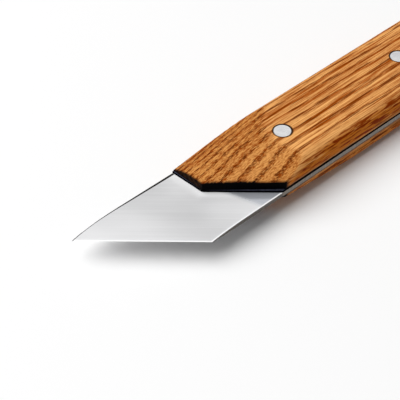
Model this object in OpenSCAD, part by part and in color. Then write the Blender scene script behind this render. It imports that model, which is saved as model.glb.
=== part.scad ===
// Skew carving knife: a full-tang blade with a slanted edge, two oak scales and two through pins.
// Millimetres. X runs from the tip to the butt, Y from the heel side to the spine, Z up.
// The knife lies on its back scale: z = 0 is the flat of that scale.

/* [Blade] */
// Bare blade along the spine, from the tip to the square front of the scales
blade_l = 42; // [36:0.5:52]
// Width of the blade, the tang and the handle
blade_w = 30; // [24:0.5:36]
// Thickness of the steel
blade_t = 1.6; // [1.2:0.1:2.4]
// Angle between the cutting edge and the length of the knife
skew_angle = 44.4; // [40:0.1:55]
// Width of the ground bevel, square to the cutting edge
bevel_w = 10; // [6:0.5:12]
// Thickness left above the middle of the steel where the bevel meets the edge
bevel_land = 0.08; // [0.06:0.01:0.2]
// Angle of one side of the narrow honed edge
honing_angle = 17; // [12:1:25]
// How far the spine falls at the tip
tip_drop = 1; // [0.4:0.1:1.5]
// Length over which the spine falls to the tip
tip_drop_l = 20; // [12:1:28]
// Chamfer on the long edges of the bare blade
edge_ease = 0.15; // [0.1:0.05:0.4]

/* [Handle] */
// Length of the handle from the square front of the scales to the butt
handle_l = 120; // [110:1:150]
// Thickness of one scale
scale_t = 6.3; // [5:0.1:9]
// Rounding along the outer edges of the scales
edge_r = 4.1; // [3:0.1:5]
// Rounding of the two corners of the butt, seen from above
butt_r = 10; // [6:0.5:11]
// Width of the square part of the front, from the spine
front_square_w = 12.7; // [8:0.1:16]
// How far the slanted front falls back from the bedding below it, at the heel side
front_recess = 1.3; // [0:0.1:2]
// Height of the front face along its square part
front_h = 2.4; // [2.3:0.1:3]
// Height of the front face at its heel end
front_h_heel = 2.7; // [1.8:0.1:3.5]

/* [Ramp] */
// Length of the ramp behind the square front, along the spine
ramp_l = 44; // [30:1:50]
// Length of the ramp behind the square front, along the middle
ramp_l_middle = 28; // [24:0.5:32]
// Length of the ramp behind the front, along the heel side
ramp_l_heel = 11.4; // [8:0.2:13]
// Half the length of the soft bend where the ramp meets the top
ramp_bend = 1.6; // [1:0.1:4]
// Width over which the ramp rolls off towards the spine
spine_ease_w = 8.5; // [2:0.5:12]
// Depth of the roll-off at the spine end of the front, from where it fades out up the ramp
spine_ease_h = 2.2; // [0.4:0.1:2.2]
// Width of the easing along the ramp's heel edge
heel_ease_w = 0.6; // [0.3:0.1:3]
// Depth of the easing along the ramp's heel edge
heel_ease_h = 0.5; // [0.3:0.1:1.6]

/* [Relief under the heel side] */
// Height that is left of the back scale at the heel end of its front
relief_h = 0.7; // [0.5:0.1:2]
// Length over which the relief runs out along the heel side
relief_l = 60; // [40:1:75]
// Flat left between the relief and the front pin's hole
relief_gap = 1.1; // [0.5:0.1:4]

/* [Bedding] */
// Thickness of the black bedding under the front scale
front_bed_t = 0.75; // [0.3:0.05:1]
// How far the black bedding stands ahead of the square front, at the spine
front_bed_proud = 0.5; // [0:0.1:1.5]
// Thickness of the bedding under the back scale
back_bed_t = 0.15; // [0.1:0.05:0.6]

/* [Pins] */
// Diameter of the pins
pin_d = 6; // [4:0.1:8]
// Distance from the end of the ramp's bend to the front pin, along the middle
front_pin_gap = 0.1; // [0:0.1:6]
// Distance of the rear pin ahead of the butt
rear_pin_inset = 31.4; // [15:0.1:40]
// Gap around a pin in its hole, on the radius
pin_clearance = 0.05; // [0.02:0.01:0.1]
// Chamfer on the ends of the pins
pin_chamfer = 0.4; // [0.1:0.05:0.8]
// How far the pin ends lie under the faces of the scales
pin_recess = 0.05; // [0.02:0.01:0.2]

/* [Hidden] */
$fn = 96;
// Segments of the two very large circles
large_fn = 1440;
// Overlap of cutters past the faces they cut
over = 1;
length = blade_l + handle_l;
spine_y = blade_w / 2;
heel_y = -blade_w / 2;
// Heights of the layers, from the resting face up
back_bed_z = scale_t;
blade_z = back_bed_z + back_bed_t;
front_bed_z = blade_z + blade_t;
front_scale_z = front_bed_z + front_bed_t;
total_t = front_scale_z + scale_t;
// Places of the front and the heel along the knife
bend_y = spine_y - front_square_w;
slant_w = blade_w - front_square_w;
skew_run = 1 / tan(skew_angle);
heel_x = (blade_w - tip_drop) * skew_run;
bed_heel_x = blade_l + slant_w * skew_run;
hole_r = pin_d / 2 + pin_clearance;
// Long enough to cross the whole knife at a slant
reach = 3 * length;
// Radius of the convex bevel and of the falling spine
bevel_fall = blade_t / 2 - bevel_land;
bevel_r = (bevel_w * bevel_w + bevel_fall * bevel_fall) / (2 * bevel_fall);
spine_r = (tip_drop_l * tip_drop_l + tip_drop * tip_drop) / (2 * tip_drop);
// Stations across the ramp, closer together where its edges are eased
ease_steps = 8;
face_steps = 14;
bend_steps = 6;
spine_stations = [for (i = [1:ease_steps]) spine_y - spine_ease_w * (1 - cos(90 * i / ease_steps))];
face_top = spine_y - spine_ease_w;
face_bottom = heel_y + heel_ease_w;
face_stations = [for (i = [1:face_steps - 1]) face_top + (face_bottom - face_top) * i / face_steps];
heel_stations = [for (i = [0:ease_steps - 1]) heel_y + heel_ease_w * (1 - sin(90 * i / ease_steps))];
stations = concat([spine_y + over, spine_y], spine_stations, face_stations, heel_stations,
                  [heel_y, heel_y - over]);

// Place of the front edge at y, where recess is how far its heel end falls back
function front_x(y, recess) =
    blade_l + max(0, bend_y - y) * (skew_run + recess / slant_w);

// How far y lies from the slanted front's start towards the heel, from 0 to 1
function slant_share(y) = min(1, max(0, (bend_y - y) / slant_w));

// Quarter-ellipse easing, from h at the edge to 0 at w inside it
function easing(inside, w, h) =
    let (k = min(1, max(0, 1 - inside / w)))
    h * (1 - sqrt(1 - k * k));

// Roll-off, from h at the edge to 0 at w inside it
function roll_off(inside, w, h) = h * pow(max(0, 1 - inside / w), 2);

// Place where the ramp would meet the top at y, before the bend is softened
function crease_x(y) =
    let (middle = blade_l + ramp_l_middle)
    let (spine_end = blade_l + ramp_l)
    let (heel_end = front_x(heel_y, front_recess) + ramp_l_heel)
    middle + ((y > 0 ? spine_end : heel_end) - middle) * pow(y / spine_y, 2);

// One line of points up the ramp at y: ahead of the front, then through the soft bend to the top
function ramp_line(y) =
    let (start = front_x(y, front_recess))
    let (foot = front_h + (front_h_heel - front_h) * slant_share(y))
    let (crease = crease_x(y))
    let (end = crease + ramp_bend)
    let (slope = (scale_t - foot) / (crease - start))
    let (fading = roll_off(spine_y - y, spine_ease_w, spine_ease_h) / (end - start))
    let (heel_drop = easing(y - heel_y, heel_ease_w, heel_ease_h))
    concat(
        [[start - over, y, foot - slope * over - fading * (end - start + over) - heel_drop]],
        [for (i = [0:bend_steps])
            let (left = 2 * ramp_bend * (1 - i / bend_steps))
            let (bend_drop = slope * left * left / (4 * ramp_bend))
            [end - left, y, scale_t - bend_drop - fading * left - heel_drop]]);

// Middles of the two pins along the knife
function pin_places() = [
    crease_x(0) + ramp_bend + front_pin_gap + pin_d / 2,
    length - rear_pin_inset
];

// Outline of the handle, seen from above, where proud is how far its spine end stands ahead
module handle_outline(recess, proud = 0) {
    difference() {
        polygon([
            [blade_l - proud, spine_y],
            [blade_l, bend_y],
            [front_x(heel_y, recess), heel_y],
            [length, heel_y],
            [length, spine_y]
        ]);
        for (side = [1, -1])
            translate([length - butt_r, side * (spine_y - butt_r)])
                butt_corner(side);
    }
}

// What is taken off a corner of the butt, outside its rounding
module butt_corner(side) {
    difference() {
        translate([0, side > 0 ? 0 : -butt_r - over])
            square(butt_r + over);
        circle(butt_r);
    }
}

// Outline of the blade and its tang, seen from above
module blade_outline() {
    difference() {
        union() {
            handle_outline(0);
            polygon([
                [0, spine_y - tip_drop],
                [heel_x, heel_y],
                [bed_heel_x, heel_y],
                [blade_l, bend_y],
                [blade_l, spine_y],
                [0, spine_y]
            ]);
        }
        difference() {
            translate([-over, spine_y - tip_drop - over])
                square([tip_drop_l + over, tip_drop + 2 * over]);
            translate([tip_drop_l, spine_y - spine_r])
                circle(spine_r, $fn = large_fn);
        }
    }
}

// Section of the blade square to its edge: full steel, convex bevels, then the honed edge at 0
module grind_section() {
    intersection() {
        union() {
            translate([bevel_w, -blade_t / 2])
                square([reach, blade_t]);
            intersection() {
                translate([0, -blade_t / 2])
                    square([bevel_w, blade_t]);
                for (side = [1, -1])
                    translate([bevel_w, side * (blade_t / 2 - bevel_r)])
                        circle(bevel_r, $fn = large_fn);
            }
        }
        polygon([
            [0, 0],
            [2 * reach, 2 * reach * tan(honing_angle)],
            [2 * reach, -2 * reach * tan(honing_angle)]
        ]);
    }
}

// Chamfer along a long edge of the bare blade
module edge_chamfer(start_x, end_x, y) {
    side = edge_ease * sqrt(2);
    for (z = [0, blade_t])
        translate([start_x, y, z])
            rotate([45, 0, 0])
                translate([0, -side / 2, -side / 2])
                    cube([end_x - start_x, side, side]);
}

// Holes for the two pins, through a layer of thickness t
module pin_holes(t) {
    for (x = pin_places())
        translate([x, 0, -over])
            cylinder(h = t + 2 * over, r = hole_r);
}

// Section of what is taken off an outer edge of a scale: 0 is the side face, outwards is +X
module edge_section() {
    translate([-edge_r, scale_t - edge_r])
        difference() {
            square(edge_r + over);
            circle(edge_r);
        }
}

// Rounding along both sides of a scale and round its butt
module edge_rounding() {
    side_l = length - butt_r - blade_l + 2 * over;
    for (side = [0, 1])
        mirror([0, side, 0]) {
            translate([blade_l - over, spine_y, 0])
                rotate([90, 0, 90])
                    linear_extrude(side_l)
                        edge_section();
            translate([length - butt_r, spine_y - butt_r, 0])
                rotate_extrude(angle = 90)
                    translate([butt_r, 0])
                        edge_section();
        }
    translate([length, 0, 0])
        rotate([90, 0, 0])
            linear_extrude(blade_w - 2 * butt_r + 2 * over, center = true)
                edge_section();
}

// What is taken off above the ramp: lines of points at each station, closed by a flat lid
module ramp_cut() {
    rows = [for (y = stations) ramp_line(y)];
    n = len(rows[0]);
    last = len(stations) - 1;
    under = [for (row = rows) each row];
    lid = [for (p = under) [p.x, p.y, scale_t + over]];
    shift = len(under);
    function at(i, j) = i * n + j;
    function wall(p, q) = [p, q, q + shift, p + shift];
    polyhedron(
        points = concat(under, lid),
        faces = [
            for (i = [0:last - 1]) for (j = [0:n - 2]) [at(i, j), at(i + 1, j), at(i, j + 1)],
            for (i = [0:last - 1]) for (j = [0:n - 2]) [at(i, j + 1), at(i + 1, j), at(i + 1, j + 1)],
            for (i = [0:last - 1]) for (j = [0:n - 2])
                [at(i, j) + shift, at(i, j + 1) + shift, at(i + 1, j + 1) + shift, at(i + 1, j) + shift],
            for (i = [0:last - 1]) wall(at(i + 1, 0), at(i, 0)),
            for (i = [0:last - 1]) wall(at(i, n - 1), at(i + 1, n - 1)),
            for (j = [0:n - 2]) wall(at(0, j), at(0, j + 1)),
            for (j = [0:n - 2]) wall(at(last, j + 1), at(last, j))
        ]);
}

// What is taken off the back scale along its heel side: it runs out behind and passes the front pin
module heel_relief() {
    start = front_x(heel_y, front_recess);
    rise = (scale_t - relief_h) / relief_l;
    ahead = start + relief_l - pin_places()[0];
    turn = atan2(-heel_y, ahead) - asin((hole_r + relief_gap) / norm([ahead, heel_y]));
    slope = rise / tan(turn);
    translate([start, heel_y, relief_h])
        rotate([atan(slope * cos(atan(rise))), -atan(rise), 0])
            translate([-length, -length, 0])
                cube(2 * length);
}

// One scale, with its glued face at z = 0 and its outer face up
module scale_shape() {
    difference() {
        linear_extrude(scale_t)
            handle_outline(front_recess);
        edge_rounding();
        ramp_cut();
        pin_holes(scale_t);
    }
}

// A flat layer of bedding with its pin holes
module bedding_shape(t, recess, proud = 0) {
    difference() {
        linear_extrude(t)
            handle_outline(recess, proud);
        pin_holes(t);
    }
}

// A pin with chamfered ends, just under both outer faces
module pin_shape() {
    r = pin_d / 2;
    low = pin_recess;
    high = total_t - pin_recess;
    rotate_extrude()
        polygon([
            [0, low],
            [r - pin_chamfer, low],
            [r, low + pin_chamfer],
            [r, high - pin_chamfer],
            [r - pin_chamfer, high],
            [0, high]
        ]);
}

// Puts the middle of the knife's length over the origin
module centred(z) {
    translate([-length / 2, 0, z])
        children();
}

// Blade and full tang in one piece of steel
module blade() {
    color([0.83, 0.84, 0.85])
        centred(blade_z)
            difference() {
                intersection() {
                    linear_extrude(blade_t)
                        blade_outline();
                    translate([0, spine_y - tip_drop, blade_t / 2])
                        rotate([0, 0, 90 - skew_angle])
                            rotate([90, 0, 0])
                                linear_extrude(reach, center = true)
                                    grind_section();
                }
                edge_chamfer(-over, blade_l - front_bed_proud, spine_y);
                edge_chamfer(heel_x - over, bed_heel_x, heel_y);
                pin_holes(blade_t);
            }
}

// Oak scale on the side that faces up
module front_scale() {
    color([0.76, 0.5, 0.27])
        centred(front_scale_z)
            scale_shape();
}

// Oak scale that the knife lies on
module back_scale() {
    color([0.7, 0.45, 0.23])
        centred(scale_t)
            mirror([0, 0, 1])
                difference() {
                    scale_shape();
                    heel_relief();
                }
}

// Black bedding between the tang and the front scale
module front_bedding() {
    color([0.06, 0.06, 0.07])
        centred(front_bed_z)
            bedding_shape(front_bed_t, 0, front_bed_proud);
}

// Thin bedding between the tang and the back scale
module back_bedding() {
    color([0.1, 0.08, 0.07])
        centred(back_bed_z)
            bedding_shape(back_bed_t, front_recess);
}

// Steel pin near the front of the handle
module front_pin() {
    color([0.86, 0.86, 0.87])
        centred(0)
            translate([pin_places()[0], 0, 0])
                pin_shape();
}

// Steel pin near the butt
module rear_pin() {
    color([0.86, 0.86, 0.87])
        centred(0)
            translate([pin_places()[1], 0, 0])
                pin_shape();
}

blade();
front_scale();
back_scale();
front_bedding();
back_bedding();
front_pin();
rear_pin();
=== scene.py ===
# %% [markdown]
# # A skew carving knife
# A small knife for carving and marking: one flat piece of steel that is blade and tang in one, two oak
# scales glued and pinned to the tang, and a slanted straight edge that is ground from both sides. The
# packed construction model is loaded first. It fixes every size and place, and each piece that is
# modelled here takes the space of the plain piece that it stands for.

# %% Load the frame
import math

import bmesh
import bpy
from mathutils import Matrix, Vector


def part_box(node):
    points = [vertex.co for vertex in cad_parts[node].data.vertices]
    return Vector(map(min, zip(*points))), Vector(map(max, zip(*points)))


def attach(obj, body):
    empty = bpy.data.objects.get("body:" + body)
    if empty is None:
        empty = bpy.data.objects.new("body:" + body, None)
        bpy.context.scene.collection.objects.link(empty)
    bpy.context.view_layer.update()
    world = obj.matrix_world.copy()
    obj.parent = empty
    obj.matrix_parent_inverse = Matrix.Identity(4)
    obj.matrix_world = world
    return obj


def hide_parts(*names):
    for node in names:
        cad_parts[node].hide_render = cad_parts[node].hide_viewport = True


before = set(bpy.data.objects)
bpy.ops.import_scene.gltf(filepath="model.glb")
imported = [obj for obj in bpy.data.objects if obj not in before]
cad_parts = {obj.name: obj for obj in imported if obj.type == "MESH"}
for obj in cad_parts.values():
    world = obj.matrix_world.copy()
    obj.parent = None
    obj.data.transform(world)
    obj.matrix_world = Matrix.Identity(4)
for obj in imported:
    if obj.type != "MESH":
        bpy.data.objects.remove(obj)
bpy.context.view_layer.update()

print("pieces in the frame:", sorted(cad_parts))

# %% [markdown]
# ## Sizes
# The knife lies on its back scale. X runs from the tip to the butt, Y from the heel side to the spine, Z
# up. Most sizes are read from the boxes of the frame's pieces, so they can't drift from the construction.
# What a box can't tell, such as an angle or a rounding, is written here once, as a real size.

# %% Sizes of the knife
mm = 0.001
blade_low, blade_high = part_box("blade")
scale_low, scale_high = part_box("front_scale")
back_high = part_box("back_scale")[1]
bed_low, bed_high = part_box("front_bedding")
tip_x, butt_x = blade_low.x, blade_high.x
heel_y, spine_y = blade_low.y, blade_high.y
front_x = scale_low.x
bed_front_x = bed_low.x
steel_middle_z = (blade_low.z + blade_high.z) / 2
scale_t = scale_high.z - scale_low.z
handle_w = spine_y - heel_y

butt_round = 10 * mm
square_front_w = 12.7 * mm
skew_angle = math.radians(44.4)
scale_recess = 1.3 * mm
bend_y = spine_y - square_front_w
slant_w = handle_w - square_front_w
slant_l = slant_w / math.tan(skew_angle)
bed_heel_x = front_x + slant_l
print(f"knife {(butt_x - tip_x) / mm:.0f} mm long and {handle_w / mm:.0f} mm wide")
print(f"scales {scale_t / mm:.1f} mm thick")

# %% [markdown]
# ## The camera
# The photograph looks down on the knife from beyond its tip, from the heel side, with a long lens. The
# place of the camera was worked out from the knife's own edges: parallel edges meet in the distance, and
# the width and the pins give the scale. The camera comes first, so that every later step can be judged
# through it.

# %% Camera
camera_place = Vector((-0.25964, -0.22732, 0.29804))
camera_tilt = math.radians(47.356)
camera_turn = math.radians(-43.751)
film_w = 36
lens_length = 126.82

camera_data = bpy.data.cameras.new("camera")
camera_data.sensor_width = film_w
camera_data.lens = lens_length
camera = bpy.data.objects.new("camera", camera_data)
camera.location = camera_place
camera.rotation_euler = (camera_tilt, 0, camera_turn)
bpy.context.scene.collection.objects.link(camera)
bpy.context.scene.camera = camera
print("camera", [round(value, 4) for value in camera_place])

# %% [markdown]
# ## Helpers for modelling by hand
# Every piece starts as a primitive and is shaped in edit mode. Operators act on what is selected, so
# these helpers deselect everything first, and then select points, edges or faces by where they are.

# %% Modelling helpers
tiny = 0.001 * mm


def only(piece):
    """Makes this piece the one that is selected and active."""
    bpy.ops.object.select_all(action="DESELECT")
    piece.select_set(True)
    bpy.context.view_layer.objects.active = piece


def start_editing(piece):
    """Opens a piece in edit mode with all of it selected."""
    only(piece)
    bpy.ops.object.mode_set(mode="EDIT")
    bpy.ops.mesh.select_all(action="SELECT")


def stop_editing():
    """Goes back to object mode."""
    bpy.ops.object.mode_set(mode="OBJECT")


def pick(piece, kind, wanted):
    """Selects the points, edges or faces that the test wants, and nothing else."""
    bpy.ops.mesh.select_mode(type=kind)
    bpy.ops.mesh.select_all(action="DESELECT")
    mesh = bmesh.from_edit_mesh(piece.data)
    parts = {"VERT": mesh.verts, "EDGE": mesh.edges, "FACE": mesh.faces}[kind]
    found = [part for part in parts if wanted(part)]
    for part in found:
        part.select_set(True)
    mesh.select_flush_mode()
    bmesh.update_edit_mesh(piece.data)
    return len(found)


def middle(part):
    """Middle of an edge or a face."""
    return sum((point.co for point in part.verts), Vector()) / len(part.verts)


def slice_all(place, normal, drop_outside=False):
    """Cuts the whole piece along a plane, and may drop what lies on the side that the normal points to."""
    bpy.ops.mesh.select_all(action="SELECT")
    bpy.ops.mesh.bisect(
        plane_co=place, plane_no=normal, threshold=tiny, clear_outer=drop_outside, use_fill=False
    )


def finish_with(piece, kind, **settings):
    """Adds a modifier and applies it."""
    only(piece)
    modifier = piece.modifiers.new(kind.title(), kind)
    for name, value in settings.items():
        setattr(modifier, name, value)
    bpy.ops.object.modifier_apply(modifier=modifier.name)


def mount(piece, node, material):
    """Puts a finished piece on the knife in place of the plain one, with its finish."""
    piece.data.materials.clear()
    piece.data.materials.append(material)
    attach(piece, "root")
    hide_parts(node)
    print(f"{piece.name}: {len(piece.data.polygons)} faces in place of {node}")


# %% [markdown]
# ## One board for every layer
# Blade, bedding and scales are all flat boards with the same butt, and each has a slanted cut at the
# front. A maker would saw them from one template, and so does this helper: a plane, cut along the slant,
# with its two butt corners rounded, and then extruded to its thickness.

# %% A board with a slanted front
butt_steps = 16


def flat_board(name, start_x, slant_start, slant_end, bottom_z):
    """A flat outline from start_x to the butt, cut along the slant between two points (x, y)."""
    bpy.ops.object.select_all(action="DESELECT")
    board_l = butt_x - start_x
    board_middle = (start_x + board_l / 2, (spine_y + heel_y) / 2, bottom_z)
    bpy.ops.mesh.primitive_plane_add(size=1, location=board_middle)
    board = bpy.context.object
    board.name = name
    board.scale = (board_l, handle_w, 1)
    bpy.ops.object.transform_apply(location=True, rotation=True, scale=True)
    start_editing(board)
    slant = Vector((slant_end[0] - slant_start[0], slant_end[1] - slant_start[1], 0)).normalized()
    slice_all((*slant_start, bottom_z), (slant.y, -slant.x, 0), drop_outside=True)
    pick(board, "VERT", lambda point: point.co.x > butt_x - tiny)
    bpy.ops.mesh.bevel(offset=butt_round, segments=butt_steps, affect="VERTICES", clamp_overlap=False)
    stop_editing()
    return board


def thicken(board, thickness):
    """Extrudes a flat outline up to its thickness and turns its faces outwards."""
    start_editing(board)
    bpy.ops.mesh.extrude_region_move(TRANSFORM_OT_translate={"value": (0, 0, thickness)})
    bpy.ops.mesh.select_all(action="SELECT")
    bpy.ops.mesh.normals_make_consistent(inside=False)
    stop_editing()


# %% [markdown]
# ## The pin holes
# The same two holes go through every layer. They are bored with a Boolean modifier and a cylinder, which
# is what a drill does, and the cutter is thrown away afterwards.

# %% Drill for the pin holes
pin_centres = [(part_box(node)[0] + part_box(node)[1]) / 2 for node in ("front_pin", "rear_pin")]
pin_r = (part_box("front_pin")[1].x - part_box("front_pin")[0].x) / 2
pin_room = 0.05 * mm
hole_r = pin_r + pin_room
drill_l = 3 * scale_high.z
round_steps = 64


def drill(piece):
    """Bores both pin holes through a piece."""
    for centre in pin_centres:
        bpy.ops.object.select_all(action="DESELECT")
        bpy.ops.mesh.primitive_cylinder_add(
            vertices=round_steps, radius=hole_r, depth=drill_l, location=centre
        )
        cutter = bpy.context.object
        finish_with(piece, "BOOLEAN", operation="DIFFERENCE", solver="EXACT", object=cutter)
        bpy.data.objects.remove(cutter)


print("pins", [round(centre.x / mm, 2) for centre in pin_centres], "radius", round(pin_r / mm, 2))

# %% [markdown]
# ## The outline of the blade
# Blade and tang are one flat bar with a skewed end, and the spine falls a little towards the tip in a
# wide arc. A maker would saw the bar and file it to the line. Here the straight board that all layers
# share is cut across a few times near the tip, and its points on the spine are moved onto the arc.

# %% Outline of the blade
tip_drop = 1 * mm
tip_drop_l = 20 * mm
spine_fall_r = (tip_drop_l ** 2 + tip_drop ** 2) / (2 * tip_drop)
spine_steps = 16
tip = Vector((tip_x, spine_y - tip_drop, 0))
edge_run = 1 / math.tan(skew_angle)
heel_x = tip_x + (handle_w - tip_drop) * edge_run

blade = flat_board("carving_blade", tip_x, (tip.x, tip.y), (heel_x, heel_y), blade_low.z)
start_editing(blade)
for step in range(1, spine_steps + 1):
    slice_all((tip_x + tip_drop_l * step / spine_steps, 0, 0), (1, 0, 0))
for place in (bed_front_x, bed_heel_x):
    slice_all((place, 0, 0), (1, 0, 0))
outline = bmesh.from_edit_mesh(blade.data)
for point in outline.verts:
    before_level = tip_x + tip_drop_l - point.co.x
    if point.co.y > spine_y - tiny and before_level > 0:
        point.co.y -= spine_fall_r - math.sqrt(spine_fall_r ** 2 - before_level ** 2)
bmesh.update_edit_mesh(blade.data)
bpy.ops.mesh.select_all(action="SELECT")
bpy.ops.mesh.remove_doubles(threshold=tiny)
stop_editing()
thicken(blade, blade_high.z - blade_low.z)
print("edge from", [round(c / mm, 1) for c in tip.xy], "to", round(heel_x / mm, 1), round(heel_y / mm, 1))

# %% [markdown]
# ## The grind
# The blade is ground to a convex bevel on both sides and honed to a narrow, steeper edge. On a bench the
# steel is sawn out first and ground afterwards, and the mesh goes the same way: the board is sliced in
# lines along the cutting edge, and the points on each line are then brought to the thickness that the
# grind leaves there. Mesh edges then lie on the grind's own lines, so the highlights run true.

# %% Grind of the blade
bevel_w = 10 * mm
bevel_land = 0.08 * mm
honing_angle = math.radians(17)
grind_steps = 20
widest_honing = 2 * mm
halvings = 40
half_steel = (blade_high.z - blade_low.z) / 2
bevel_fall = half_steel - bevel_land
bevel_r = (bevel_w ** 2 + bevel_fall ** 2) / (2 * bevel_fall)
into_blade = Vector((math.sin(skew_angle), math.cos(skew_angle), 0))


def bevel_half(inside):
    """Half the thickness that the convex bevel leaves at a distance from the edge."""
    left = max(0, bevel_w - inside)
    return half_steel - bevel_r + math.sqrt(bevel_r ** 2 - left ** 2)


def honed_width():
    """Distance from the edge at which the honed faces meet the bevel, found by halving."""
    near, far = 0, widest_honing
    for _ in range(halvings):
        try_at = (near + far) / 2
        if try_at * math.tan(honing_angle) < bevel_half(try_at):
            near = try_at
        else:
            far = try_at
    return near


honed_w = honed_width()
start_editing(blade)
for step in range(grind_steps + 1):
    slice_all(tip + into_blade * (honed_w + (bevel_w - honed_w) * step / grind_steps), into_blade)
steel = bmesh.from_edit_mesh(blade.data)
for point in steel.verts:
    inside = max(0, (point.co - tip).dot(into_blade))
    half = min(bevel_half(inside), inside * math.tan(honing_angle))
    point.co.z = steel_middle_z + math.copysign(half, point.co.z - steel_middle_z)
bmesh.update_edit_mesh(blade.data)
bpy.ops.mesh.select_all(action="SELECT")
bpy.ops.mesh.remove_doubles(threshold=tiny)
bpy.ops.mesh.dissolve_degenerate(threshold=tiny)
stop_editing()
print(f"honed edge {honed_w / mm:.2f} mm wide, bevel radius {bevel_r / mm:.0f} mm")

# %% [markdown]
# The long edges of the bare blade are eased, so that they don't bite into a finger. A file would take
# them off in a few strokes. Here it is a small bevel, left off where the steel thins out towards the
# cutting edge.

# %% Eased edges of the blade
edge_ease = 0.15 * mm
ease_steps = 3
ease_start = 3 * mm
steel_smooth_angle = math.radians(12)


def long_edge(edge):
    """True on the upper and lower long edges of the bare steel."""
    where = middle(edge)
    first, second = (point.co for point in edge.verts)
    flat_run = abs(first.x - second.x) > tiny and abs(first.z - steel_middle_z) > tiny
    thick_enough = min((point.co - tip).dot(into_blade) for point in edge.verts) > ease_start
    on_spine = min(first.y, second.y) > spine_y - tip_drop - tiny and where.x < bed_front_x
    on_heel = max(first.y, second.y) < heel_y + tiny and where.x < bed_heel_x
    return flat_run and thick_enough and (on_spine or on_heel)


start_editing(blade)
eased = pick(blade, "EDGE", long_edge)
bpy.ops.mesh.bevel(offset=edge_ease, segments=ease_steps, affect="EDGES", clamp_overlap=True)
stop_editing()
drill(blade)
only(blade)
bpy.ops.object.shade_smooth_by_angle(angle=steel_smooth_angle)
print("eased edges:", eased)

# %% [markdown]
# ## The ramp of the scales
# Each scale is planed down in a ramp at its front, so that it doesn't get in the way of the cut. The ramp
# sweeps back towards the spine and rolls off there, so the thumb meets no corner, and it is short and
# steep at the heel side. A bevel can't change its length like that, so the ramp is written as a height
# for every place.

# %% Shape of the ramp
front_h = 2.4 * mm
front_h_heel = 2.7 * mm
ramp_l = 44 * mm
ramp_l_middle = 28 * mm
ramp_l_heel = 11.4 * mm
ramp_bend = 1.6 * mm
spine_ease_w, spine_ease_h = 8.5 * mm, 2.2 * mm
heel_ease_w, heel_ease_h = 0.6 * mm, 0.5 * mm
least_h = 0.1 * mm
scale_heel_x = front_x + slant_l + scale_recess


def easing(inside, width, height):
    """Quarter-ellipse drop, from the full height at an edge to nothing at a width inside it."""
    share = min(1, max(0, 1 - inside / width))
    return height * (1 - math.sqrt(1 - share ** 2))


def roll_off(inside, width, height):
    """Drop that grows with the square of the way to an edge, from nothing at a width inside it."""
    return height * max(0, 1 - inside / width) ** 2


def crease_at(y):
    """Place where the ramp meets the top, before the bend is softened."""
    middle_end = front_x + ramp_l_middle
    side_end = front_x + ramp_l if y > 0 else scale_heel_x + ramp_l_heel
    return middle_end + (side_end - middle_end) * (y / spine_y) ** 2


def ramp_height(x, y):
    """Height of the ramp above the glued face."""
    slant_share = min(1, max(0, (bend_y - y) / slant_w))
    foot = front_h + (front_h_heel - front_h) * slant_share
    start = front_x + (scale_heel_x - front_x) * slant_share
    end = crease_at(y) + ramp_bend
    slope = (scale_t - foot) / (end - ramp_bend - start)
    left = max(0, end - x)
    if left < 2 * ramp_bend:
        fall = slope * left ** 2 / (4 * ramp_bend)
    else:
        fall = slope * (left - ramp_bend)
    fall += roll_off(spine_y - y, spine_ease_w, spine_ease_h) * left / (end - start)
    fall += easing(y - heel_y, heel_ease_w, heel_ease_h) * min(1, left / ramp_bend)
    return max(least_h, scale_t - fall)


print("ramp ends between", round(crease_at(spine_y) / mm, 1), "and", round(crease_at(heel_y) / mm, 1))

# %% [markdown]
# ## The front scale
# The scale is a board of oak with its outer edges rounded, which is plain extrude and bevel work. For the
# ramp the board is sliced into a net of rows and columns, and each point above the ramp comes down onto
# it, as a plane would take it there.

# %% Front scale
edge_round = 4.1 * mm
edge_steps = 12
row_gap = 0.6 * mm
column_gap = 1.0 * mm
merge_gap = 5 * tiny
smooth_angle = math.radians(30)

front_scale = flat_board(
    "oak_front_scale", front_x, (front_x, bend_y), (scale_heel_x, heel_y), scale_low.z
)
thicken(front_scale, scale_t)
start_editing(front_scale)


def outer_edge(edge):
    """True on the top edges along both sides and round the butt."""
    where = middle(edge)
    on_top = min(point.co.z for point in edge.verts) > scale_high.z - tiny
    at_side = abs(where.y) > spine_y - tiny or where.x > butt_x - butt_round
    return on_top and at_side


pick(front_scale, "EDGE", outer_edge)
bpy.ops.mesh.bevel(offset=edge_round, segments=edge_steps, affect="EDGES", clamp_overlap=False)
row_end = max(crease_at(heel_y), crease_at(spine_y)) + ramp_bend
for row in range(1, math.ceil((row_end - front_x) / row_gap)):
    slice_all((front_x + row * row_gap, 0, 0), (1, 0, 0))
columns_w = handle_w - 2 * edge_round
for column in range(1, math.floor(columns_w / column_gap)):
    slice_all((0, heel_y + edge_round + column * column_gap, 0), (0, 1, 0))
board = bmesh.from_edit_mesh(front_scale.data)
for point in board.verts:
    height = point.co.z - scale_low.z
    if height > tiny:
        point.co.z = scale_low.z + min(height, ramp_height(point.co.x, point.co.y))
bmesh.update_edit_mesh(front_scale.data)
bpy.ops.mesh.select_all(action="SELECT")
bpy.ops.mesh.remove_doubles(threshold=merge_gap)
stop_editing()
drill(front_scale)
only(front_scale)
bpy.ops.object.shade_smooth_by_angle(angle=smooth_angle)
print("front scale:", len(front_scale.data.vertices), "points")

# %% [markdown]
# The back scale is the same shape turned over, so the front one is copied, mirrored and moved down. A
# mirrored mesh is inside out, so its faces are turned round again. Then one long slanting cut takes wood
# off along its heel side: seen from the heel, the scale thins out to almost nothing at the front. The cut
# passes the front pin at a small distance and runs out further back, and that fixes its two slopes.

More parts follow.
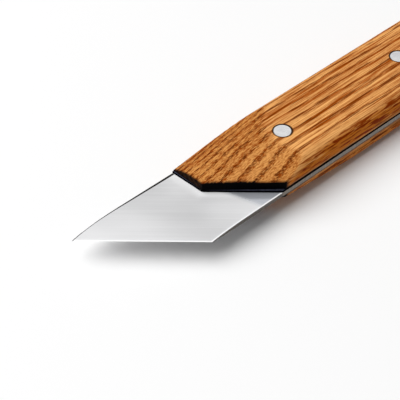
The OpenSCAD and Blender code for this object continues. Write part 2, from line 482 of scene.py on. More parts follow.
# %% Back scale
only(front_scale)
bpy.ops.object.duplicate()
back_scale = bpy.context.object
back_scale.name = "oak_back_scale"
back_scale.scale.z = -1
back_scale.location.z = back_high.z + scale_low.z
bpy.ops.object.transform_apply(location=True, rotation=True, scale=True)
relief_h = 0.7 * mm
relief_l = 60 * mm
relief_gap = 1.1 * mm
relief_rise = (scale_t - relief_h) / relief_l
past_pin = scale_heel_x + relief_l - pin_centres[0].x
to_pin = math.atan2(-heel_y, past_pin)
beside_pin = math.asin((hole_r + relief_gap) / math.hypot(past_pin, heel_y))
relief_turn = to_pin - beside_pin
relief_slope = relief_rise / math.tan(relief_turn)
start_editing(back_scale)
bpy.ops.mesh.normals_make_consistent(inside=False)
bpy.ops.mesh.bisect(
    plane_co=(scale_heel_x, heel_y, back_high.z - relief_h),
    plane_no=(-relief_rise, -relief_slope, -1),
    threshold=tiny,
    clear_outer=True,
    use_fill=True,
)
stop_editing()
bpy.ops.object.shade_smooth_by_angle(angle=smooth_angle)
print("relief slopes", round(math.degrees(math.atan(relief_slope)), 1), "degrees across the back scale")

# %% [markdown]
# ## The bedding
# A black layer lies between the tang and the front scale. It shows as a line along the seam, and in front
# of the slanted face it stands a little proud as a narrow ledge. At the spine it stands ahead of the
# square front too, so its front gets a second cut. It is the same board again, thin, with its upper front
# edge just broken.

# %% Bedding
bed_ease = 0.12 * mm
bed_ease_steps = 3
bedding = flat_board("black_bedding", bed_front_x, (front_x, bend_y), (bed_heel_x, heel_y), bed_low.z)
start_editing(bedding)
slice_all((front_x, bend_y, bed_low.z), (bend_y - spine_y, bed_front_x - front_x, 0), drop_outside=True)
stop_editing()
thicken(bedding, bed_high.z - bed_low.z)


def bed_front_edge(edge):
    """True on the upper edge of the front."""
    where = middle(edge)
    on_top = min(point.co.z for point in edge.verts) > bed_high.z - tiny
    return on_top and where.x < bed_heel_x - tiny and abs(where.y) < spine_y - tiny


start_editing(bedding)
pick(bedding, "EDGE", bed_front_edge)
bpy.ops.mesh.bevel(offset=bed_ease, segments=bed_ease_steps, affect="EDGES")
stop_editing()
drill(bedding)
only(bedding)
bpy.ops.object.shade_smooth_by_angle(angle=smooth_angle)
print(f"bedding {(bed_high.z - bed_low.z) / mm:.2f} mm thick")

# %% [markdown]
# ## The pins
# Two steel pins go right through. Their ends were filed flush with the wood and just rounded over at the
# rim, which is where they catch the light. A cylinder gets a bevel round both rims. Each end face is then
# sunk by a hair, and inset and raised again in two rings, because a filed pin end is never quite flat.

# %% Pins
rim_round = 0.4 * mm
rim_steps = 4
rod_steps = 96
crown = 0.04 * mm
crown_ring_w = 0.9 * mm
outer_share, inner_share = 0.7, 0.3


def steel_pin(name, node):
    """A pin with rounded rims and slightly crowned ends."""
    low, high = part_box(node)
    bpy.ops.object.select_all(action="DESELECT")
    bpy.ops.mesh.primitive_cylinder_add(
        vertices=rod_steps, radius=pin_r, depth=high.z - low.z, location=(low + high) / 2
    )
    pin = bpy.context.object
    pin.name = name
    bpy.ops.object.transform_apply(location=True, rotation=True, scale=True)
    start_editing(pin)
    pick(pin, "EDGE", lambda edge: abs(edge.verts[0].co.z - edge.verts[1].co.z) < tiny)
    bpy.ops.mesh.bevel(offset=rim_round, segments=rim_steps, affect="EDGES")
    for end_z, rise in ((high.z, crown), (low.z, -crown)):
        pick(pin, "FACE", lambda face: abs(middle(face).z - end_z) < tiny)
        bpy.ops.transform.translate(value=(0, 0, -rise))
        for share in (outer_share, inner_share):
            bpy.ops.mesh.inset(thickness=crown_ring_w)
            bpy.ops.transform.translate(value=(0, 0, share * rise))
    stop_editing()
    bpy.ops.object.shade_smooth_by_angle(angle=smooth_angle)
    return pin


front_pin = steel_pin("front_pin_rod", "front_pin")
rear_pin = steel_pin("rear_pin_rod", "rear_pin")
print(f"pins of {2 * pin_r / mm:.1f} mm rod, {len(front_pin.data.polygons)} faces each")

# %% [markdown]
# ## Helpers for finishes
# Every finish is a small network of nodes that reads the place on the piece in millimetres. Colours are
# written as they look on a screen, and turned into amounts of light.

# %% Colours and arithmetic for finishes
def seen(red, green, blue):
    """A colour as it looks on a screen, from 0 to 255, as light."""
    def light(value):
        share = value / 255
        return share / 12.92 if share <= 0.04045 else ((share + 0.055) / 1.055) ** 2.4
    return (light(red), light(green), light(blue), 1)


def feed(tree, socket, value):
    """Wires a socket to another one, or sets its value."""
    if isinstance(value, bpy.types.NodeSocket):
        tree.links.new(value, socket)
    else:
        socket.default_value = value


def add(tree, kind, wires=None, **settings):
    """Adds a node with its settings and its inputs."""
    node = tree.nodes.new(kind)
    for name, value in settings.items():
        setattr(node, name, value)
    for name, value in (wires or {}).items():
        feed(tree, node.inputs[name], value)
    return node


def calc(tree, operation, *values):
    """One step of arithmetic."""
    node = add(tree, "ShaderNodeMath", operation=operation)
    for socket, value in zip(node.inputs, values):
        feed(tree, socket, value)
    return node.outputs[0]


def plus(tree, first, second):
    """Sum of two values."""
    return calc(tree, "ADD", first, second)


def minus(tree, first, second):
    """Difference of two values."""
    return calc(tree, "SUBTRACT", first, second)


def times(tree, first, second):
    """Product of two values."""
    return calc(tree, "MULTIPLY", first, second)


def fade(tree, value, start, end, low=0.0, high=1.0):
    """Runs smoothly from low to high as a value goes from start to end."""
    wires = {"Value": value, "From Min": start, "From Max": end, "To Min": low, "To Max": high}
    return add(tree, "ShaderNodeMapRange", wires, interpolation_type="SMOOTHSTEP").outputs[0]


def mixed(tree, share, first, second, way="MIX"):
    """Mixes two colours. Sockets 0, 6 and 7 of a Mix node are the share and the two colours."""
    node = add(tree, "ShaderNodeMix", data_type="RGBA", blend_type=way)
    for socket, value in ((node.inputs[0], share), (node.inputs[6], first), (node.inputs[7], second)):
        feed(tree, socket, value)
    return node.outputs[2]


print("half grey on a screen is", round(seen(128, 128, 128)[0], 3), "as light")

# %% [markdown]
# Nearly every pattern here starts as noise: fibres, brush lines and filing marks are noise that is
# stretched in one direction. The helpers take the size of a grain in millimetres, because that can be
# measured on a real piece.

# %% Patterns for finishes
def scaled(tree, place, size, turn=0.0):
    """Stretches a pattern to a size in millimetres along each axis, and may turn it about Z first."""
    turned = place
    if turn:
        turned = add(tree, "ShaderNodeMapping", {"Vector": place, "Rotation": (0, 0, turn)}).outputs[0]
    wires = {"Vector": turned, "Scale": tuple(1 / length for length in size)}
    return add(tree, "ShaderNodeMapping", wires).outputs[0]


def noise(tree, place, size, detail=2.0, turn=0.0):
    """Soft noise with grains of a size in millimetres."""
    grains = scaled(tree, place, size, turn)
    wires = {"Vector": grains, "Scale": 1.0, "Detail": detail, "Roughness": 0.55}
    return add(tree, "ShaderNodeTexNoise", wires).outputs["Fac"]


def grain(tree, place, size, detail, start, end):
    """Noise with its contrast raised, so that it runs from 0 to 1."""
    return fade(tree, noise(tree, place, size, detail), start, end)


def along(tree, place, direction, offset=0.0):
    """How far a place, or a normal, reaches along a direction, less an offset."""
    dot = add(tree, "ShaderNodeVectorMath", {0: place, 1: direction}, operation="DOT_PRODUCT")
    return minus(tree, dot.outputs["Value"], offset)


def new_finish(name):
    """A material with its shader, and the place on the piece in millimetres."""
    finish = bpy.data.materials.new(name)
    finish.use_nodes = True
    tree = finish.node_tree
    shader = tree.nodes["Principled BSDF"]
    where = add(tree, "ShaderNodeTexCoord").outputs["Object"]
    place = add(tree, "ShaderNodeMapping", {"Vector": where, "Scale": (1 / mm, 1 / mm, 1 / mm)}).outputs[0]
    return finish, tree, shader, place


def roughen(tree, shader, height, depth):
    """Bump from a height between 0 and 1, with a depth in millimetres."""
    bump = add(tree, "ShaderNodeBump", {"Height": height, "Strength": 1.0, "Distance": depth * mm})
    tree.links.new(bump.outputs["Normal"], shader.inputs["Normal"])


print("one unit of a pattern is", mm, "m")

# %% [markdown]
# ## Oak: rings and vessels
# Oak is built up in yearly rings. Each ring starts with a band of wide vessels, which show as dark dashes
# along the grain, and ends in plain dense wood. A photo of oak could be wrapped round the scale, but the
# ramp cuts through the rings at a slant, and there the dashes turn short and the bands change direction.
# So the wood is made as a solid: rings as slanted layers, vessels as long thin cells along the knife, and
# every surface shows what it cuts through. The rings widen towards the heel side and lean a little along
# the board, and two soft noises push them to and fro, because no tree grows quite evenly. All sizes here
# are in millimetres.

# %% Rings and vessels of the oak
ring_w = 2.2
ring_growth = 36
ring_slope = 0.80
ring_lean = 0.02
lean_start = -12
sway_size, sway_way = (60, 14, 14), 2.4
wobble_size, wobble_way = (9, 1.6, 1.6), 1.6
vessel_size = (9.0, 0.27, 0.27)
vessel_reach, early_reach = 0.16, 0.36


def pushed(tree, wood, size, detail, way):
    """A soft push to and fro, by half the way at most."""
    return times(tree, minus(tree, noise(tree, wood, size, detail), 0.5), way)


def early_wood(tree, wood):
    """The start of each yearly ring, from 0 to 1. Each ring is wider than the last by a steady share."""
    sway = pushed(tree, wood, sway_size, 1, sway_way)
    wobble = pushed(tree, wood, wobble_size, 2, wobble_way)
    layer = along(tree, wood, (-ring_lean, -1, ring_slope), -ring_lean * lean_start)
    depth = plus(tree, plus(tree, layer, sway), wobble)
    shrink = calc(tree, "EXPONENT", calc(tree, "DIVIDE", depth, -ring_growth))
    ring = times(tree, minus(tree, 1.0, shrink), ring_growth / ring_w)
    phase = calc(tree, "FRACT", ring)
    return times(tree, fade(tree, phase, 0.0, 0.15), fade(tree, phase, 0.25, 0.65, 1.0, 0.0))


def vessels(tree, wood, early):
    """Long thin cells along the grain, wide in the early wood and narrow in the rest, from 0 to 1."""
    wires = {"Vector": scaled(tree, wood, vessel_size), "Scale": 1.0, "Randomness": 1.0}
    cells = add(tree, "ShaderNodeTexVoronoi", wires).outputs["Distance"]
    reach = plus(tree, times(tree, early, early_reach), vessel_reach)
    return fade(tree, minus(tree, reach, cells), -0.05, 0.10)


print(f"rings about {ring_w} mm wide, vessels about {vessel_size[0]} mm long")

# %% [markdown]
# ## Oak: ramp and sides
# The ramp cuts across the fibres, which take up more oil there and look darker and duller. The sides of
# the handle get painted shade, most of all low on the heel side, less on the spine side and in a few pale
# streaks. A colour could be painted on chosen faces, but that would leave hard borders. Which way the
# surface faces tells a ramp from a side, and the border is as soft as the rounding of the wood.

# %% Masks of the ramp and the sides
ramp_from_y, ramp_to_y = -8, 6
heel_ramp_full, spine_ramp_full = 0.28, 0.14
ramp_slope = (scale_t - front_h_heel) / ramp_l_heel
# shade_run, shade_by_edge, spine_side_shade and pale_shade shape the painted shade of the sides.
shade_run = 2.6
shade_by_edge = 0.25
spine_side_shade = 0.35
pale_size = (18, 0.9, 0.9)
pale_shade = 0.42


def end_grain_share(tree, place, facing):
    """How far a surface cuts across the fibres, from 0 to 1. The ramp is steeper on its heel half."""
    sideways = along(tree, place, (0, 1, 0))
    full_slope = fade(tree, sideways, ramp_from_y, ramp_to_y, heel_ramp_full, spine_ramp_full)
    return fade(tree, calc(tree, "ABSOLUTE", along(tree, facing, (1, 0, 0))), 0.03, full_slope)


def painted_side_shade(tree, place, wood, above, across, side, painted_shade_strength):
    """Painted shade on a side: less along the ramp's edge, on the spine side and in the pale streaks."""
    ramp_edge = times(tree, along(tree, place, (1, 0, 0), scale_heel_x / mm), ramp_slope)
    below_edge = minus(tree, plus(tree, ramp_edge, front_h_heel / mm), above)
    low_down = fade(tree, below_edge, 0.0, shade_run, shade_by_edge * painted_shade_strength, painted_shade_strength)
    shade = times(tree, side, low_down)
    shade = times(tree, shade, fade(tree, across, -0.2, 0.2, 1.0, spine_side_shade))
    pale = noise(tree, wood, pale_size, 2)
    return times(tree, shade, fade(tree, pale, 0.52, 0.64, 1.0, pale_shade))


print(f"the ramp rises {math.degrees(math.atan(ramp_slope)):.0f} degrees at the heel side")

# %% [markdown]
# ## Oak: black front, seam and pin rings
# The front faces were blackened, and the black has soaked a little way into the vessels and left a
# scorched fringe. Along the seam the black of the bedding has been pressed out. It is thick near the
# front, with a few flecks, and thins out towards the butt. A dark line also runs close round each pin, and
# its centre is moved towards the heel side, where it is wider as painted shadow. All of these follow
# from the distance to a plane, a seam or a pin's axis, and need no texture image.

# %% Pin rings and blackened front
# pin_shadow_shift_y moves each ring towards the heel side as painted shadow.
pin_shadow_shift_y = -0.14
pin_ring_full, pin_ring_end = 0.20, 0.60
farther_than_all = 1000.0
soak_size, soak_way = (1.1, 0.8, 0.8), 1.1
vessel_soak, side_soak = 0.6, 0.35
fringe_w = 0.9
fleck_size = (1.6, 0.8, 0.5)
seam_full, seam_end = 0.22, 0.50


def pin_ring(tree, place):
    """The dark line in the wood close round each pin, moved towards the heel side, where it is wider as
    painted shadow.
    """
    nearest = farther_than_all
    for centre in pin_centres:
        axis = (centre.x / mm, pin_shadow_shift_y, 0)
        from_pin = add(tree, "ShaderNodeVectorMath", {0: place, 1: axis}, operation="SUBTRACT")
        flat = add(
            tree, "ShaderNodeVectorMath", {0: from_pin.outputs[0], 1: (1, 1, 0)}, operation="MULTIPLY"
        )
        length = add(tree, "ShaderNodeVectorMath", {0: flat.outputs[0]}, operation="LENGTH")
        nearest = calc(tree, "MINIMUM", nearest, length.outputs["Value"])
    return fade(tree, nearest, pin_r / mm + pin_ring_full, pin_r / mm + pin_ring_end, 1.0, 0.0)


def behind_front(tree, place):
    """Distance behind the two front faces, the square one and the slanted one."""
    slant = Vector((scale_heel_x - front_x, heel_y - bend_y)).normalized()
    square = along(tree, place, (1, 0, 0), front_x / mm)
    slanted = along(tree, place, (-slant.y, slant.x, 0), (-slant.y * front_x + slant.x * bend_y) / mm)
    return calc(tree, "MINIMUM", square, slanted)


def black_front(tree, place, vessel, side):
    """The blackened front faces and the scorched fringe behind them."""
    past_bend = along(tree, place, (0, -1, 0), -bend_y / mm)
    from_bend = fade(tree, past_bend, -1.0, 1.5, 0.3, 1.0)
    most = times(tree, from_bend, fade(tree, past_bend, 8.0, 13.0, 1.0, 0.1))
    soak = plus(tree, noise(tree, place, soak_size, 3), times(tree, vessel, vessel_soak))
    soak = times(tree, soak, times(tree, most, soak_way))
    soak = plus(tree, soak, times(tree, side, side_soak))
    beyond = minus(tree, behind_front(tree, place), soak)
    face = fade(tree, beyond, -0.25, 0.15, 1.0, 0.0)
    fringe = fade(tree, beyond, 0.0, fringe_w, 1.0, 0.0)
    return face, fringe


def black_seam(tree, place, above, seam_black):
    """The black along the seam, with flecks near the front."""
    back = along(tree, place, (1, 0, 0), scale_heel_x / mm)
    near = times(tree, fade(tree, above, 0.1, 0.9, 1.0, 0.0), fade(tree, back, 3, 16, 1.0, 0.0))
    flecks = times(tree, near, grain(tree, place, fleck_size, 3, 0.50, 0.62))
    thinning = plus(tree, above, fade(tree, back, 5, 60, 0.05, 0.32))
    seam = times(tree, fade(tree, thinning, seam_full, seam_end, 1.0, 0.0), seam_black)
    return calc(tree, "MAXIMUM", flecks, seam)


print(f"black soaks in by up to about {soak_way} mm")

# %% [markdown]
# ## Oak: colour and gloss
# The patterns are added up to one tone, which runs from pale to dark oak. Fibres, streaks and clouds lead
# on the top, and a fine stipple on the ramp, where fibres are cut short. The sides get dashes of their
# own. The tint of the ramp comes next, then painted shade on the sides and the spine side, a painted
# highlight low on the sides above the seam, and the black last. The back scale is cut from another part
# of the board, so its pattern is moved, and its sides get a little less painted shade.

# %% Oak finish
fibre_size, fibre_weight = (14, 0.30, 0.30), 0.48
streak_size, cloud_size, cloud_shift = (26, 0.80, 0.80), (60, 4.5, 4.5), (-25, 0, 0)
stipple_size, dash_size = (1.2, 0.28, 0.28), (9.0, 0.75, 0.75)
dash_weight, side_fibre_weight, side_level = 1.5, 0.35, 1.02
pale_oak, dark_oak, vessel_brown = seen(240, 177, 106), seen(156, 70, 0), seen(96, 38, 0)
# heel_painted_shade multiplies the sides as painted shade.
ramp_tint, heel_painted_shade = (0.74, 0.645, 0.51, 1), (0.62, 0.355, 0.09, 1)
spine_side_painted_shade = (0.80, 0.70, 0.54, 1)
# rim_painted_highlight is a painted highlight along the low rim of the sides.
rim_painted_highlight, pin_ring_brown = seen(214, 156, 104), seen(30, 13, 6)
scorched_brown, soot_black = seen(58, 26, 10), seen(2, 2, 3)
oak_sheen = 0.02
oak_relief = 0.04


def oak_tone(tree, wood, fibre, streak, early, end_grain, side):
    """All patterns of the wood added up, low where it is pale and high where it is dark."""
    clouded = add(tree, "ShaderNodeMapping", {"Vector": wood, "Location": cloud_shift}).outputs[0]
    cloud = grain(tree, clouded, cloud_size, 2, 0.34, 0.66)
    stipple = grain(tree, wood, stipple_size, 1, 0.32, 0.68)
    dash = grain(tree, wood, dash_size, 2, 0.44, 0.58)
    tone = times(tree, fibre, fibre_weight)
    for pattern, on_top, on_ramp in (
        (streak, 0.22, 0.10), (cloud, 0.34, 0.14), (stipple, 0.10, 0.46), (early, 0.28, 0.26)
    ):
        weight = fade(tree, end_grain, 0.0, 1.0, on_top, on_ramp)
        tone = plus(tree, tone, times(tree, pattern, weight))
    lines = plus(tree, times(tree, dash, dash_weight), times(tree, fibre, side_fibre_weight))
    return plus(tree, tone, times(tree, minus(tree, lines, side_level), side))


def oak(name, glue_z, drift, seam_black, painted_shade_strength):
    """Oiled oak with blackened front faces. drift moves the pattern, so that no two boards are alike."""
    finish, tree, shader, place = new_finish(name)
    wood = add(tree, "ShaderNodeMapping", {"Vector": place, "Location": drift}).outputs[0]
    early = early_wood(tree, wood)
    vessel = vessels(tree, wood, early)
    fibre = grain(tree, wood, fibre_size, 1, 0.30, 0.70)
    streak = grain(tree, wood, streak_size, 3, 0.36, 0.64)
    facing = add(tree, "ShaderNodeNewGeometry").outputs["Normal"]
    across = along(tree, facing, (0, 1, 0))
    side = fade(tree, calc(tree, "ABSOLUTE", across), 0.35, 0.85)
    above = calc(tree, "ABSOLUTE", along(tree, place, (0, 0, 1), glue_z / mm))
    end_grain = end_grain_share(tree, place, facing)
    shade = painted_side_shade(tree, place, wood, above, across, side, painted_shade_strength)

    tone = oak_tone(tree, wood, fibre, streak, early, end_grain, side)
    colour = mixed(tree, fade(tree, tone, 0.23, 1.15), pale_oak, dark_oak)
    colour = mixed(tree, times(tree, vessel, 0.85), colour, vessel_brown)
    colour = mixed(tree, end_grain, colour, ramp_tint, "MULTIPLY")
    # Painted shade on the sides, strongest low on the heel side.
    colour = mixed(tree, shade, colour, heel_painted_shade, "MULTIPLY")
    # Painted shade on the spine side, where the lamp lights the rounded edge.
    colour = mixed(tree, fade(tree, across, 0.05, 0.55), colour, spine_side_painted_shade, "MULTIPLY")
    # Painted highlight: a light line low on the sides, just above the seam, where an eased edge would
    # catch light.
    painted_rim_share = times(tree, fade(tree, above, 0.60, 1.05, 1.0, 0.0), side)
    colour = mixed(tree, times(tree, painted_rim_share, 0.45), colour, rim_painted_highlight)

    face, fringe = black_front(tree, place, vessel, side)
    black = calc(tree, "MAXIMUM", face, black_seam(tree, place, above, seam_black))
    colour = mixed(tree, times(tree, pin_ring(tree, place), 0.92), colour, pin_ring_brown)
    colour = mixed(tree, times(tree, fringe, 0.75), colour, scorched_brown)
    colour = mixed(tree, black, colour, soot_black)
    tree.links.new(colour, shader.inputs["Base Color"])

    shader.inputs["Specular IOR Level"].default_value = oak_sheen
    dull = plus(tree, times(tree, streak, 0.08), times(tree, vessel, 0.15))
    tree.links.new(plus(tree, dull, 0.42), shader.inputs["Roughness"])
    roughen(tree, shader, minus(tree, times(tree, fibre, -0.4), vessel), oak_relief)
    return finish


# The last number sets how strong the painted shade of the sides is.
front_oak = oak("front_oak", scale_low.z, (0, -3.6, 0), 1.0, 1.0)
back_oak = oak("back_oak", back_high.z, (37, 5, 11), 0.3, 0.85)
mount(front_scale, "front_scale", front_oak)
mount(back_scale, "back_scale", back_oak)

# %% [markdown]
# ## Brushed steel: the parts of the flat
# The flat of the blade was rubbed on a belt along the cutting edge. The belt could not get right into the
# corner between the slanted front and the heel, so that corner is smoother and mirrors the black front;
# its colour there is also a darker, bluer grey as painted shade. Next to the square front the steel gets
# painted light against the shade of the front, and the spine's edge gets a dark line of painted shade.
# Each of these parts is a distance from a line on the blade, turned into a share from 0 to 1.

# %% Parts of the blade's surface
belt_lean = 0.30
belt_gap = 4.3 * mm
belt_soft_start, belt_soft_end = -1.3, 1.6
painted_light_full, painted_light_end = 0.6, 4.0


def spine_depth(tree, place):
    """Distance of a place from the spine, which falls a little towards the tip, in millimetres."""
    before_level = calc(tree, "MAXIMUM", along(tree, place, (-1, 0, 0), -(tip_x + tip_drop_l) / mm), 0.0)
    fall = calc(tree, "DIVIDE", calc(tree, "POWER", before_level, 2.0), 2 * spine_fall_r / mm)
    return minus(tree, along(tree, place, (0, -1, 0), -spine_y / mm), fall)


def shaded_corner_share(tree, place):
    """The corner between the slanted front and the heel, where the belt did not reach: smoother steel,
    with painted shade.
    """
    beyond = along(tree, place, (1, belt_lean, 0), (front_x + belt_gap) / mm)
    return fade(tree, beyond, belt_soft_start, belt_soft_end)


def painted_light_by_front(tree, place, smooth_shaded_corner):
    """Painted light: how close a place lies to the square front and the start of the slanted one."""
    ahead = along(tree, place, (-1, 0, 0), -front_x / mm)
    across = along(tree, place, tuple(into_blade), Vector((front_x, bend_y, 0)).dot(into_blade) / mm)
    distance = calc(tree, "MAXIMUM", ahead, times(tree, across, -1.0))
    near = fade(tree, distance, painted_light_full, painted_light_end, 1.0, 0.0)
    return times(tree, near, minus(tree, 1.0, smooth_shaded_corner))


def bare_share(tree, place):
    """The blade ahead of the handle: 1 where it is bare, 0 between the scales."""
    wood_start = fade(tree, along(tree, place, (0, 1, 0)), -1, 1, bed_heel_x / mm, bed_front_x / mm)
    return fade(tree, minus(tree, along(tree, place, (1, 0, 0)), wood_start), -0.3, 0.3, 1.0, 0.0)


print(f"the belt stopped {belt_gap / mm:.1f} mm behind the square front")

# %% [markdown]
# ## Brushed steel: colour and gloss
# The brush lines are a noise that is stretched hard along the edge, used for the tone, the roughness and
# a very small bump. The flat gets painted light towards the tip and towards the handle. The honed edge
# and the corner along the heel get a painted highlight, and the honed edge is smoother too. The sides
# are coarser, with grinding marks across the steel, and get painted shade ahead of the handle. A line of
# painted shade runs along the spine that widens from the tip to the handle. A satin surface scatters
# much of its light, so the flat is half metal and half plain grey; where light is painted, the metal is
# turned down.

# %% Blade finish
fine_size, broad_size, cloud_steel_size = (40, 0.15, 4), (70, 1.2, 8), (22, 13, 13)
belt_grey, belt_light = seen(210, 210, 211), seen(226, 226, 227)
tip_painted_light, handle_painted_light = seen(244, 244, 245), seen(250, 250, 251)
painted_front_light, corner_painted_shade = seen(234, 234, 235), seen(194, 197, 204)
painted_highlight_white = seen(252, 252, 252)
mark_size = (0.12, 8, 3)
mark_dark, mark_light = seen(112, 101, 90), seen(146, 136, 124)
bare_side_painted_shade, spine_line_painted_shade = seen(50, 42, 36), seen(26, 22, 20)
spine_shade_tip, spine_shade_handle = 0.22, 0.90
metal_share = 0.5
brush_relief = 0.0015


def flat_steel(tree, place, fine, from_tip, near_front_painted_light, smooth_shaded_corner):
    """Colour of the brushed flat."""
    broad = noise(tree, place, broad_size, 2, skew_angle)
    cloud = noise(tree, place, cloud_steel_size, 1, skew_angle)
    tone = plus(tree, times(tree, fine, 0.25), times(tree, broad, 0.25))
    tone = plus(tree, tone, times(tree, cloud, 0.50))
    colour = mixed(tree, fade(tree, tone, 0.36, 0.64), belt_grey, belt_light)
    # Painted light towards the tip and towards the handle.
    colour = mixed(tree, fade(tree, from_tip, 0, 34, 0.6, 0.0), colour, tip_painted_light)
    colour = mixed(tree, fade(tree, from_tip, 32, 52, 0.0, 0.6), colour, handle_painted_light)
    # Painted light next to the square front, against the shade that the front casts.
    colour = mixed(tree, near_front_painted_light, colour, painted_front_light)
    # Painted shade in the smoother corner by the heel.
    return mixed(tree, smooth_shaded_corner, colour, corner_painted_shade)


def side_steel(tree, place, bare):
    """Colour of the sides, with painted shade on the bare steel ahead of the handle."""
    marks = noise(tree, place, mark_size, 2)
    colour = mixed(tree, fade(tree, marks, 0.3, 0.7), mark_dark, mark_light)
    return mixed(tree, times(tree, bare, 0.75), colour, bare_side_painted_shade)


def brushed_steel():
    """Satin steel, brushed along the cutting edge."""
    finish, tree, shader, place = new_finish("brushed_blade_steel")
    fine = noise(tree, place, fine_size, 2, skew_angle)
    from_tip = along(tree, place, (1, 0, 0), tip_x / mm)
    smooth_shaded_corner = shaded_corner_share(tree, place)
    near_front_painted_light = painted_light_by_front(tree, place, smooth_shaded_corner)
    colour = flat_steel(tree, place, fine, from_tip, near_front_painted_light, smooth_shaded_corner)

    inside = along(tree, place, tuple(into_blade), tip.dot(into_blade) / mm)
    honed = fade(tree, inside, 0.5 * honed_w / mm, honed_w / mm, 1.0, 0.0)
    painted_sheen = fade(tree, along(tree, place, (0, 1, 0), heel_y / mm), 0.35, 0.55, 1.0, 0.0)
    # Painted highlight on the honed edge and along the heel's corner.
    painted_highlight = calc(tree, "MAXIMUM", honed, painted_sheen)
    colour = mixed(tree, painted_highlight, colour, painted_highlight_white)

    facing = add(tree, "ShaderNodeNewGeometry").outputs["Normal"]
    side = fade(tree, calc(tree, "ABSOLUTE", along(tree, facing, (0, 0, 1))), 0.31, 0.66, 1.0, 0.0)
    bare = bare_share(tree, place)
    colour = mixed(tree, side, colour, side_steel(tree, place, bare))
    # Painted shade: a dark line along the spine's eased edge, widening from the tip to the handle.
    spine_shade_w = fade(tree, from_tip, 0, 48, spine_shade_tip, spine_shade_handle)
    spine_shade_line = fade(tree, minus(tree, spine_depth(tree, place), spine_shade_w), -0.06, 0.10, 1.0, 0.0)
    colour = mixed(tree, times(tree, spine_shade_line, bare), colour, spine_line_painted_shade)
    tree.links.new(colour, shader.inputs["Base Color"])

    # Less metal where light or a highlight is painted, so that reflections don't darken it.
    plain = calc(tree, "MAXIMUM", painted_highlight, near_front_painted_light)
    tree.links.new(times(tree, minus(tree, 1.0, plain), metal_share), shader.inputs["Metallic"])
    dull = plus(tree, fade(tree, fine, 0.3, 0.7, 0.40, 0.46), times(tree, side, 0.05))
    dull = minus(tree, dull, times(tree, honed, 0.15))
    dull = minus(tree, dull, times(tree, smooth_shaded_corner, 0.25))
    tree.links.new(dull, shader.inputs["Roughness"])
    roughen(tree, shader, fine, brush_relief)
    return finish


mount(blade, "blade", brushed_steel())

# %% [markdown]
# ## Black bedding
# The bedding is hard and black, and the top of its ledge gets a bluish grey as a painted reflection. The
# thin layer under the back scale has the right shape already, so it keeps its plain mesh and only gets
# the finish.

# %% Bedding finish
mottle_size = (0.9, 0.6, 0.5)
bed_sheen_dark, bed_sheen_grey, bed_black = seen(36, 38, 48), seen(60, 62, 76), seen(1, 1, 2)
bed_relief = 0.02


def bedding_finish():
    """Black bedding, with a painted reflection that makes its upward faces bluish grey."""
    finish, tree, shader, place = new_finish("black_bedding")
    mottle = noise(tree, place, mottle_size, 4)
    facing = add(tree, "ShaderNodeNewGeometry").outputs["Normal"]
    # Painted reflection: faces that look up turn a bluish grey.
    top = fade(tree, along(tree, facing, (0, 0, 1)), 0.5, 0.9)
    painted_sheen = mixed(tree, fade(tree, mottle, 0.3, 0.7), bed_sheen_dark, bed_sheen_grey)
    tree.links.new(mixed(tree, top, bed_black, painted_sheen), shader.inputs["Base Color"])
    shader.inputs["Specular IOR Level"].default_value = 0.0
    tree.links.new(fade(tree, mottle, 0.3, 0.7, 0.40, 0.55), shader.inputs["Roughness"])
    roughen(tree, shader, mottle, bed_relief)
    return finish


black_layer = bedding_finish()
mount(bedding, "front_bedding", black_layer)
back_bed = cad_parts["back_bedding"]
back_bed.data.materials.clear()
back_bed.data.materials.append(black_layer)

# %% [markdown]
# ## Pin steel
# The pin ends were filed in one direction and then rubbed down with the wood, which leaves fine
# scratches. One noise is stretched along the file's strokes, and a rounder one clouds the metal a little.

# %% Pin finish
scratch_size, scratch_turn = (3.0, 0.10, 3.0), math.radians(25)
pin_cloud_size = (2.2, 2.2, 2.2)
pin_grey, pin_white = seen(238, 238, 240), seen(253, 253, 253)
pin_relief = 0.003


def pin_steel():
    """Satin steel with fine filing marks."""
    finish, tree, shader, place = new_finish("filed_pin_steel")
    scratch = noise(tree, place, scratch_size, 3, scratch_turn)
    cloud = noise(tree, place, pin_cloud_size, 2)
    tone = plus(tree, times(tree, scratch, 0.5), times(tree, cloud, 0.5))
    colour = mixed(tree, fade(tree, tone, 0.35, 0.65), pin_grey, pin_white)
    tree.links.new(colour, shader.inputs["Base Color"])
    shader.inputs["Metallic"].default_value = 1.0
    tree.links.new(fade(tree, scratch, 0.3, 0.7, 0.26, 0.36), shader.inputs["Roughness"])
    roughen(tree, shader, scratch, pin_relief)
    return finish


filed_steel = pin_steel()
mount(front_pin, "front_pin", filed_steel)
mount(rear_pin, "rear_pin", filed_steel)

# %% [markdown]
# ## The floor
# The knife lies on a wide, plain floor. It is a little below white, so that the soft shadow stays clear.

# %% Floor
floor_size = 8.0
floor_white = seen(246, 246, 246)
floor_roughness, floor_sheen = 0.9, 0.1

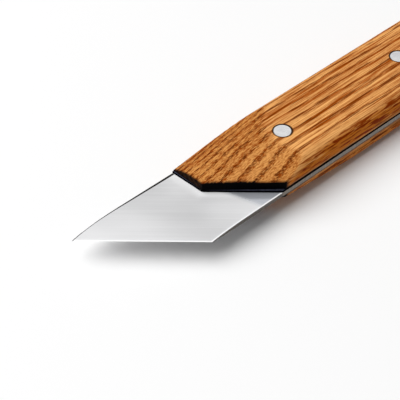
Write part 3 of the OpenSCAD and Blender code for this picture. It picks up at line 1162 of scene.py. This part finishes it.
bpy.ops.object.select_all(action="DESELECT")
bpy.ops.mesh.primitive_plane_add(size=floor_size, location=(0, 0, 0))
floor = bpy.context.object
floor.name = "floor"
floor_finish, _, floor_shader, _ = new_finish("pale_floor")
floor_shader.inputs["Base Color"].default_value = floor_white
floor_shader.inputs["Roughness"].default_value = floor_roughness
floor_shader.inputs["Specular IOR Level"].default_value = floor_sheen
floor.data.materials.append(floor_finish)
print("floor", floor_size, "m wide")

# %% [markdown]
# ## The lamp
# A large soft lamp stands above and behind the spine, like a lamp behind a white screen in a studio, so
# the shadow falls towards the heel side. It is kept out of reflections: the steel mirrors the surround.

# %% Lamp
lamp_towards = Vector((-0.75, 0.75, 1.78)).normalized()
lamp_distance = 2.4
lamp_size = 3.2
lamp_power = 82

lamp_data = bpy.data.lights.new("soft_lamp", "AREA")
lamp_data.shape = "DISK"
lamp_data.size = lamp_size
lamp_data.energy = lamp_power
lamp = bpy.data.objects.new("soft_lamp", lamp_data)
lamp.location = lamp_towards * lamp_distance
lamp.rotation_euler = lamp_towards.to_track_quat("Z", "Y").to_euler()
lamp.visible_glossy = False
bpy.context.scene.collection.objects.link(lamp)
print("lamp at", [round(value, 2) for value in lamp.location])

# %% [markdown]
# ## The surround
# An even white surround fills the shade, as white walls would. Metal looks like what it reflects, so the
# surround that it sees is darker near the floor than overhead.

# %% Surround
fill_strength = 0.20
mirror_by_floor, mirror_overhead = 0.35, 1.0

world = bpy.data.worlds.new("surround")
bpy.context.scene.world = world
world.use_nodes = True
sky = world.node_tree
background = sky.nodes["Background"]
rays = add(sky, "ShaderNodeLightPath")
direction = add(sky, "ShaderNodeTexCoord").outputs["Generated"]
upward = add(sky, "ShaderNodeSeparateXYZ", {"Vector": direction}).outputs["Z"]
mirrored = fade(sky, upward, 0.2, 0.95, mirror_by_floor, mirror_overhead)
shown = calc(sky, "MAXIMUM", rays.outputs["Is Camera Ray"], rays.outputs["Is Transmission Ray"])
strength = plus(sky, shown, times(sky, rays.outputs["Is Glossy Ray"], mirrored))
lit = calc(sky, "MAXIMUM", shown, rays.outputs["Is Glossy Ray"])
fill = times(sky, minus(sky, 1.0, lit), fill_strength)
sky.links.new(plus(sky, strength, fill), background.inputs["Strength"])
background.inputs["Color"].default_value = (1, 1, 1, 1)
bpy.context.scene.view_settings.view_transform = "Standard"
print("surround fills the shade at", fill_strength)
